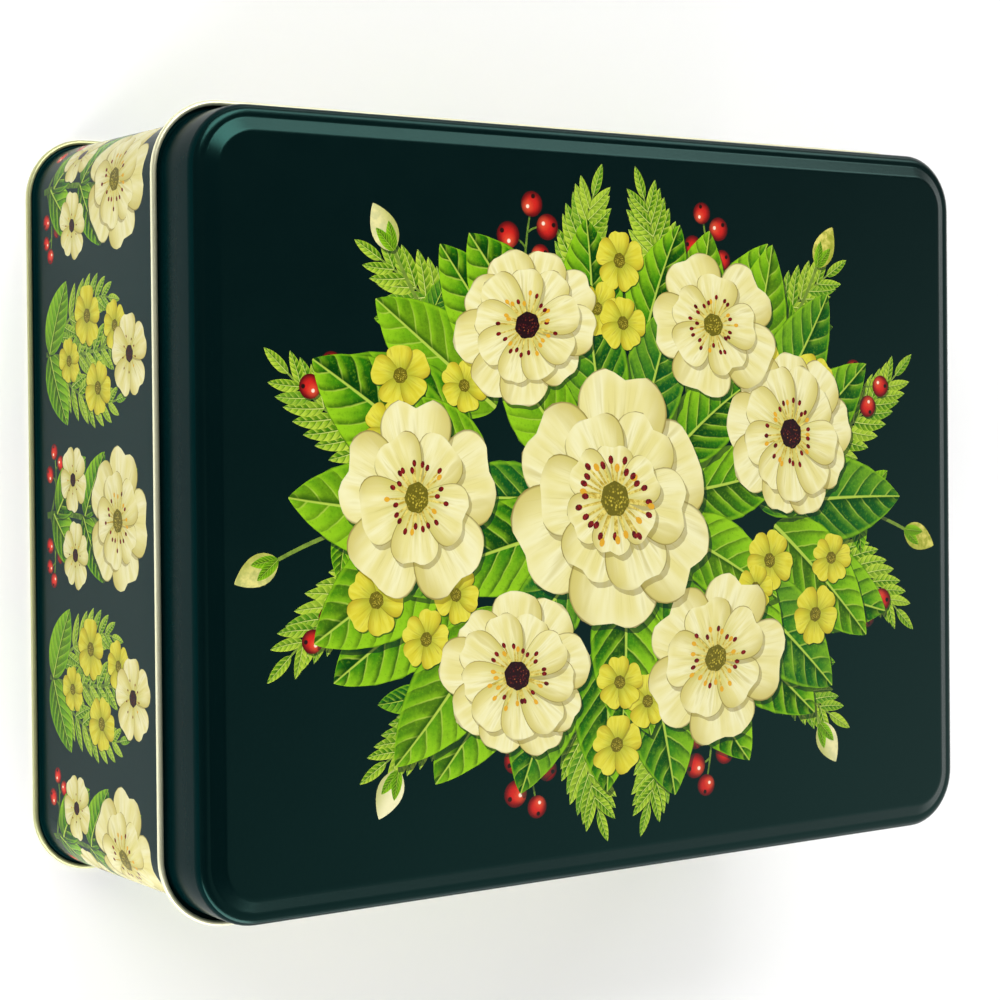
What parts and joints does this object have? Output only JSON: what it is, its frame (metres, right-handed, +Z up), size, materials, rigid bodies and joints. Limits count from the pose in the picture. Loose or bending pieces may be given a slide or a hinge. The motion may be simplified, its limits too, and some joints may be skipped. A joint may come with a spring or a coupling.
{
  "type": "storage tin",
  "caption": "Deep rectangular storage tin with rounded corners, a lift-off printed lid with a raised panel and rolled edges, for papers and keepsakes.",
  "frame": {"origin": "centre of the base at the plane the tin stands on", "axes": "+X along the length, +Y along the width, +Z up out of the lid"},
  "size_m": [0.2462, 0.195, 0.0944],
  "materials": {
    "printed_tinplate": "satin varnish over a printed floral design on dark bottle green, gold lacquer on the inner face and rolled edges",
    "lacquered_tinplate": "pale gold lacquer over bright tinplate"
  },
  "bodies": {
    "tin_body": {"body_wall": "printed_tinplate", "base_plate": "lacquered_tinplate"},
    "tin_lid": {"lid": "printed_tinplate"}
  },
  "joints": [
    {"name": "lid_lift", "type": "slide", "parent": "tin_body", "child": "tin_lid", "axis": [0, 0, 1], "range_m": [0, 0.12]}
  ]
}
